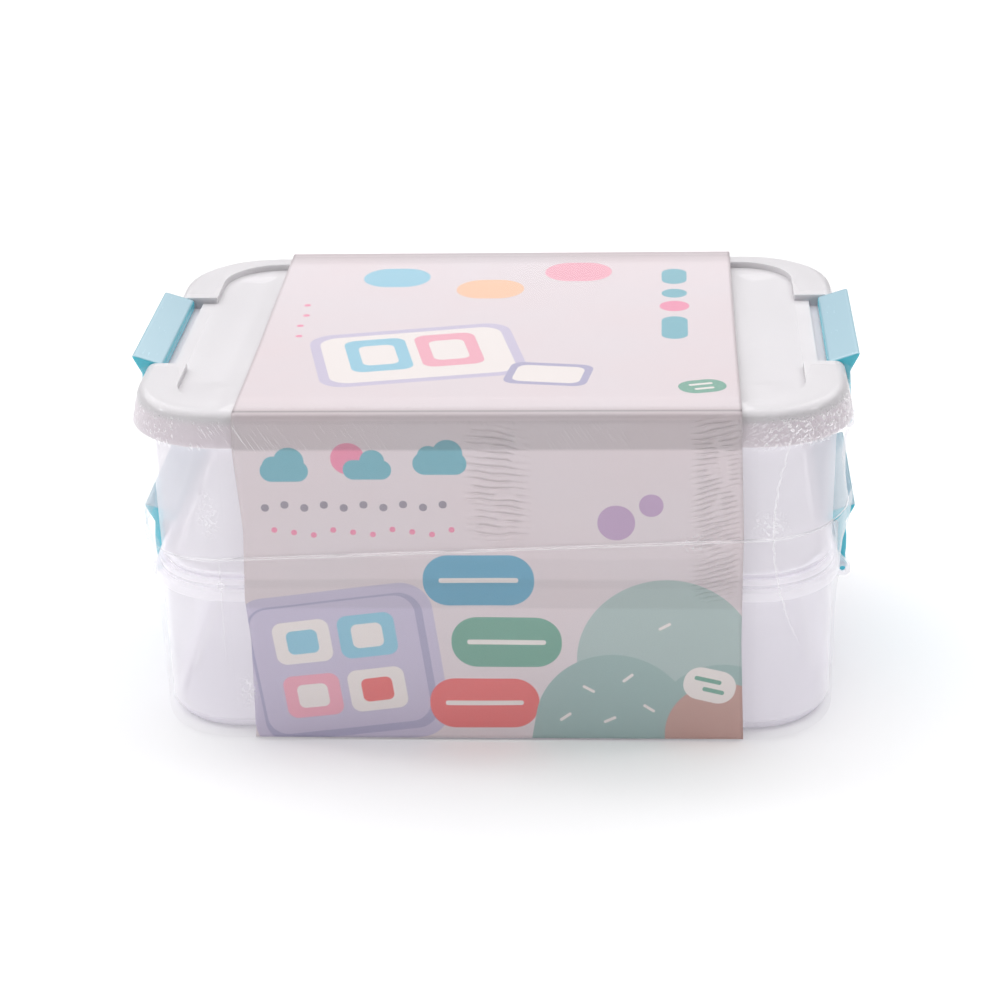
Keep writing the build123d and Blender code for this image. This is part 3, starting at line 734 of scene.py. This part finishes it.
def outline_run(half_length, half_depth, corner, step):
    """Points and outward normals once round a rounded rectangle, from the middle of the right end:
    straights at an even step, and quarter circles where the point is centre + corner * (cos, sin) and the
    normal is (cos, sin). The end straights have points at y = +-OPENING, so the openings get clean edges."""
    run_x, run_y = half_length - corner, half_depth - corner
    quarter = np.linspace(0, np.pi / 2, max(8, int(corner * np.pi / 2 / step)) + 1)[:-1]
    pieces = []

    def straight(*stops, fixed, axis, sign):
        moving = np.concatenate([
            np.linspace(a, b, max(2, int(abs(b - a) / step)) + 1)[:-1] for a, b in zip(stops, stops[1:])
        ])
        still = np.full_like(moving, fixed)
        normal = (np.full_like(moving, sign), 0 * moving)
        pieces.append((still, moving, *normal) if axis == "y" else (moving, still, *normal[::-1]))

    def corner_arc(turns, sx, sy):
        angle = quarter + turns * np.pi / 2
        c, n = np.cos(angle), np.sin(angle)
        pieces.append((sx * run_x + corner * c, sy * run_y + corner * n, c, n))

    straight(0.0, OPENING, run_y, fixed=half_length, axis="y", sign=1)
    corner_arc(0, 1, 1)
    straight(run_x, -run_x, fixed=half_depth, axis="x", sign=1)
    corner_arc(1, -1, 1)
    straight(run_y, OPENING, -OPENING, -run_y, fixed=-half_length, axis="y", sign=-1)
    corner_arc(2, -1, -1)
    straight(-run_x, run_x, fixed=-half_depth, axis="x", sign=-1)
    corner_arc(3, 1, -1)
    straight(-run_y, -OPENING, 0.0, fixed=half_length, axis="y", sign=1)
    return [np.concatenate(column) for column in zip(*pieces)]


ox, oy, nx, ny = outline_run(FILM_HALF_LENGTH, FILM_HALF_DEPTH, FILM_CORNER, FILM_STEP)
along = np.concatenate([[0.0], np.cumsum(np.hypot(np.diff(ox), np.diff(oy)))])
middle_y = 0.5 * (oy + np.roll(oy, -1))
in_opening = (np.abs(middle_y) < OPENING) & (np.abs(nx) > 0.99) & (np.abs(np.roll(nx, -1)) > 0.99)
past_opening = np.maximum(np.abs(oy) - OPENING, 0)
beside_opening = np.clip((np.abs(ox) - 120.0) / 15.0, 0, 1) * bump_of(past_opening, 9.0)
print("film outline:", len(ox), "points,", round(along[-1], 1), "mm")

# %% Film sides
def film_side(levels, folds):
    """Carry the outline up through the levels (height, inset at the ends, inset at the long sides):
    point = outline - normal * inset, where the two insets are mixed by the squares of the normal. folds
    (array of the outline by heights) then moves each point outwards, never past the outline's own face
    at the long sides, where the box ends."""
    heights, at_ends, at_sides = (np.array(column) for column in zip(*levels))
    fine = np.append(np.arange(heights[0], heights[-1], FILM_STEP), heights[-1])[:, None]
    inset = np.interp(fine, heights, at_ends) * nx**2 + np.interp(fine, heights, at_sides) * ny**2
    inset = inset - folds(along[None, :], fine)
    inset = np.where(np.abs(ny) > 0.5, np.maximum(inset, 0.0), inset)
    inset = np.maximum(inset, FILM_HALF_LENGTH - FILM_REACH)
    tilt = SEAM_SLOPE * (ox - nx * inset) * bump_of(fine - SEAM, 14.0)
    return np.stack([ox - nx * inset, oy - ny * inset, fine + tilt], axis=-1), fine[:, 0]


def upper_folds(s, z):
    """Shallow upright folds under the skirt, a tent beside each opening where the film is stretched from
    the latch's nose down to the skirt's foot, and a small lip at the seam."""
    hang = np.clip((118.0 - z) / 14.0, 0, 1)
    waves = 0.25 * np.sin(s / 6.1 + z / 40.0) + 0.2 * np.sin(s / 3.7 - z / 23.0) * np.sin(s / 31.0)
    tent = 2.7 * np.interp(z, [96, 112, 121, 128, 134], [0, 0.55, 0.85, 1.0, 1.0]) * beside_opening
    return hang * waves + tent + LIP * bump_of(z - SEAM, 0.7)


def lower_folds(s, z):
    """Shallow folds that hang from the seam and are gone at the foot, the tent over the lower latches, and
    the seam's lip."""
    waves = 0.22 * np.sin(s / 5.3 + z / 33.0) * np.sin(s / 27.0)
    tent = 3.6 * np.interp(z, [50, 62, 70, 76, 81], [0, 0.3, 0.9, 1.0, 0.8]) * beside_opening
    return np.clip(z / 40.0, 0, 1) * waves + tent + LIP * bump_of(z - SEAM, 0.7)


upper_levels = [
    (81.15, 1.9, 0.0), (84.0, 2.2, 0.0), (95.0, 3.0, 0.0), (106.0, 3.2, 0.0), (113.0, 2.3, 0.0),
    (118.5, 0.5, 0.0), (121.5, 0.1, 0.0), (124.0, 0.35, 0.0), (130.0, 1.6, 0.05), (132.4, 2.4, 0.3),
    (134.0, 3.4, 0.9), (135.0, 4.6, 1.8), (FILM_TOP, TOP_INSET, 3.0),
]
lower_levels = [
    (0.9, 5.9, 0.25), (4.0, 5.9, 0.2), (20.0, 5.6, 0.15), (40.0, 5.2, 0.1), (52.0, 4.6, 0.1),
    (56.0, 3.9, 0.0), (62.0, 3.8, 0.0), (70.0, 2.9, 0.0), (80.85, 1.9, 0.0),
]
side, side_z = film_side(upper_levels, upper_folds)
low, low_z = film_side(lower_levels, lower_folds)
print("film sides:", side.shape, low.shape)

# %% Film over the lid
def film_height(px, py):
    """The film lies on the card over the middle and a little lower on the lid's rim, with a short slope
    down beside the card: height = rim + step * exp(-(distance / 3)^2), less the card's own sag."""
    beside = np.maximum(np.abs(px) - 94.5, 0)
    sag = SAG * np.clip(1 - (py / SAG_HALF_DEPTH) ** 2, 0, 1)
    return 135.25 + 0.9 * bump_of(beside, 3.0) - sag * bump_of(beside, 8.0)


def over_lid_end(px):
    """0 on the card, rising to 1 where the film lies on the lid beside it."""
    return np.clip((np.abs(px) - 96) / 6, 0, 1)


last = side[-1]
rings = np.linspace(RING_START, RING_END, 16)[:, None]
ring_x, ring_y = last[:, 0] - nx * rings, last[:, 1] - ny * rings
ends = np.abs(nx)[None, :] ** 2 * np.clip((rings - 8) / 12, 0, 1) * over_lid_end(ring_x)
ring_z = film_height(ring_x, ring_y)
ring_z = ring_z + (FILM_TOP - ring_z) * bump_of(rings - RING_START, 2.0) - 0.6 * ends
top = np.stack([ring_x, ring_y, ring_z], axis=-1)
spine_x = np.clip(top[-1, :, 0], -SPINE_HALF, SPINE_HALF)
share = np.linspace(0, 1, 34)[1:, None]
in_x = top[-1, :, 0] * (1 - share) + spine_x * share
in_y = top[-1, :, 1] * (1 - share)
inner = np.stack([in_x, in_y, film_height(in_x, in_y) - 0.6 * over_lid_end(in_x)], axis=-1)
upper = np.concatenate([side, top, inner], axis=0)
cell_inset = np.concatenate([np.zeros(len(side)), rings[:, 0] + TOP_INSET, np.full(len(inner), np.inf)])
keep = ~((cell_inset[:-1] < OPENING_IN)[:, None] & in_opening[None, :])
climb = np.concatenate([side_z, FILM_TOP + rings[:, 0], FILM_TOP + RING_END + INNER_RUN * share[:, 0]])
film_top = sheet_mesh("shrink_film_upper", upper * MM, along * MM, climb[:, None] * MM, keep, closed=True)
keep = ~((low_z[:-1] > OPENING_FOOT)[:, None] & in_opening[None, :])
film_low = sheet_mesh("shrink_film_lower", low * MM, along * MM, low_z[:, None] * MM, keep, closed=True)
for piece, body, node in ((film_top, "wrap", "film_upper"), (film_low, "lower_tier", "film_lower")):
    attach(piece, body)
    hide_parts(node)

# %% [markdown]
# ### The film's finish
#
# Clear film shows only by its shine: a faint haze, bright lines where it is creased, and a whiter
# edge where it is seen at a slant. So the alpha is low and is raised by the creases, and nearly half of
# what is left is mirror-like. Heat gathers the creases at the front corners of the lid, along the seam,
# and in a few small stars. At the lid's front corners the specks and streaks are painted glints.

# %% Film material
RING_X = -0.1018   # the straight line and its ring, in metres
clear_film, tree, shader, place = new_material("clear_film")
x_at, y_at, z_at = (axis_of(tree, place, axis) for axis in "XYZ")


def zone(low_edge, start, stop, high_edge, coordinate):
    """1 between start and stop, falling to 0 at low_edge and high_edge (metres)."""
    up = spread(tree, coordinate, low_edge, start)
    down = spread(tree, coordinate, stop, high_edge, 1.0, 0.0)
    return times(tree, up, down)


def grown(degrees, scale):
    """The place in axes turned about Y and divided by a scale for each axis: a pattern grows longest
    where its scale is largest, and an axis whose scale is 0 drops out."""
    return own_axes(tree, place, Rotation=(0.0, math.radians(degrees), 0.0), Scale=scale)


def near(coordinate, middle, half):
    """1 at middle, falling in a straight line to 0 at a distance half."""
    off = maths(tree, "ABSOLUTE", maths(tree, "SUBTRACT", coordinate, middle))
    return maths(tree, "MULTIPLY_ADD", off, -1.0 / half, 1.0, clamp=True)


rim_band = zone(0.1205, 0.1222, 0.1325, 0.1342, z_at)
front_side = spread(tree, y_at, -0.05, -0.035, 1.0, 0.0)
right_corner = times(tree, spread(tree, x_at, 0.092, 0.112), front_side)
left_corner = times(tree, spread(tree, x_at, -0.075, -0.095), front_side)
patchy = spread(tree, noise(tree, place, 110.0, 2.0), 0.3, 0.52, 0.25, 1.0)

# painted glints: white specks on the crinkles where the film shrank over the right corner, and slanted
# streaks on both corners, drawn as whiter, more opaque film
glint_specks = spread(tree, noise(tree, grown(55.0, (1.0, 1.0, 2.2)), 1150.0, 2.0, 0.6), 0.5, 0.64)
glint_streaks = spread(tree, noise(tree, grown(-32.0, (1.0, 1.0, 14.0)), 1300.0, 1.0), 0.6, 0.7)
lines = times(tree, glint_specks, patchy, rim_band, right_corner)
streak_share = times(tree, rim_band, maths(tree, "MULTIPLY_ADD", left_corner, 0.45, 0.12))
lines = maths(tree, "MULTIPLY_ADD", glint_streaks, streak_share, lines)

# the seam, a crinkled line down the right side, a straight one with a small ring on the left
seam_height = maths(tree, "MULTIPLY_ADD", x_at, -SEAM_SLOPE, z_at)
lines = maths(tree, "MULTIPLY_ADD", zone(0.0802, 0.0808, 0.0812, 0.0818, seam_height), 0.7, lines)
drop = maths(tree, "SUBTRACT", z_at, 0.088)   # the crinkled line bows: x = 4.5 * drop^2 + jag
jag = noise(tree, grown(0.0, (0.0, 0.0, 1.0)), 230.0, 3.0, 0.65)
crinkle_x = maths(tree, "MULTIPLY_ADD", times(tree, drop, drop), 4.5, 0.1043)
crinkle_x = maths(tree, "MULTIPLY_ADD", jag, 0.004, crinkle_x)
crinkle = near(maths(tree, "SUBTRACT", x_at, crinkle_x), 0.0, 0.0005)
crinkle = times(tree, crinkle, zone(0.035, 0.06, 0.118, 0.13, z_at), front_side)
lines = maths(tree, "MULTIPLY_ADD", crinkle, 0.6, lines)
pulled = times(tree, near(x_at, RING_X, 0.0004), zone(0.03, 0.045, 0.072, 0.08, z_at), front_side)
lines = maths(tree, "MULTIPLY_ADD", pulled, 0.35, lines)
from_ring = vector_maths(tree, "DISTANCE", grown(0.0, (1.0, 0.0, 1.0)), (RING_X, 0.0, 0.066))
ring_line = times(tree, near(from_ring, 0.0013, 0.0005), front_side)
lines = maths(tree, "MULTIPLY_ADD", ring_line, 0.6, lines)

# small stars of folds: flecks that show only near a few points of the front
flecks = spread(tree, noise(tree, place, 800.0, 2.0, 0.7), 0.52, 0.6)
for star_x, star_z, reach_x, reach_z in (
    (-0.105, 0.095, 0.005, 0.012), (-0.094, 0.021, 0.005, 0.009),
    (0.1055, 0.0905, 0.009, 0.008), (0.077, 0.084, 0.007, 0.005),
):
    spot = times(tree, near(x_at, star_x, reach_x), near(z_at, star_z, reach_z))
    spot = maths(tree, "MULTIPLY", spot, 2.0, clamp=True)
    lines = maths(tree, "MULTIPLY_ADD", times(tree, flecks, spot, front_side), 0.5, lines)
lines = maths(tree, "MINIMUM", lines, 1.0)

slant = feed(tree.nodes.new("ShaderNodeLayerWeight"), Blend=0.35).outputs["Facing"]
haze = maths(tree, "MULTIPLY_ADD", maths(tree, "POWER", slant, 3.0), 0.3, 0.06)
far_right, far_left = spread(tree, x_at, 0.124, 0.131), spread(tree, x_at, -0.126, -0.134)
far_out = maths(tree, "MULTIPLY_ADD", far_left, 0.5, far_right)
far_out = times(tree, far_out, zone(0.05, 0.062, 0.112, 0.122, z_at))   # where it is pulled over the latches
haze = maths(tree, "MULTIPLY_ADD", far_out, 0.3, haze)
opacity = maths(tree, "MULTIPLY_ADD", lines, 0.75, haze, clamp=True)
feed(shader, Alpha=opacity, Base_Color=(0.97, 0.96, 0.98, 1.0), Metallic=0.45, Roughness=0.16)
raise_surface(tree, shader, lines, 0.15, 0.0003)
for piece in (film_top, film_low):
    piece.data.materials.append(clear_film)
print("film finish on", film_top.name, "and", film_low.name)

# %% [markdown]
# ## Floor and light
#
# The box stands on white paper under one very large soft box, in a room with dim walls. A sun lamp a
# hundred degrees wide is such a soft box at any distance, so the paper is evenly bright to the edge of
# the picture. A weak low lamp fills the front, and a narrow one at each side draws the bright lines on
# the film. How the real lights stood isn't known: these were set by comparing colours with the photograph.

# %% Floor and light
floor_mesh = bpy.data.meshes.new("floor")
floor_mesh.from_pydata([(-6, -6, 0), (6, -6, 0), (6, 6, 0), (-6, 6, 0)], [], [(0, 1, 2, 3)])
floor = add_object("floor", floor_mesh)
paper, tree, shader, place = new_material("floor_paper")
feed(shader, Base_Color=(0.95, 0.95, 0.955, 1.0), Roughness=0.9, Specular_IOR_Level=0.1)
floor.data.materials.append(paper)


def sky_light(name, strength, angle, tilt, heading):
    """A sun as wide as angle degrees, tilted from overhead towards a heading on the floor."""
    sun = bpy.data.lights.new(name, "SUN")
    sun.energy, sun.angle = strength, math.radians(angle)
    lamp = add_object(name, sun)
    lamp.rotation_euler = (math.radians(tilt), 0.0, math.radians(heading))


sky_light("overhead", 3.3, 100.0, 18.0, 192.0)
sky_light("low_front", 0.46, 60.0, 80.0, -40.0)
sky_light("left_strip", 0.32, 9.0, 54.0, -105.0)
sky_light("right_strip", 0.26, 9.0, 46.0, 101.0)
world = bpy.data.worlds.new("studio")
world.use_nodes = True
room = world.node_tree
# what the camera sees beyond the paper is white; what lights the box is a dim room
camera_ray = room.nodes.new("ShaderNodeLightPath").outputs["Is Camera Ray"]
glow = spread(room, camera_ray, 0.0, 1.0, 0.13, 0.97)
feed(room.nodes["Background"], Color=(1.0, 0.99, 1.0, 1.0), Strength=glow)
bpy.context.scene.world = world
bpy.context.scene.view_settings.view_transform = "Standard"
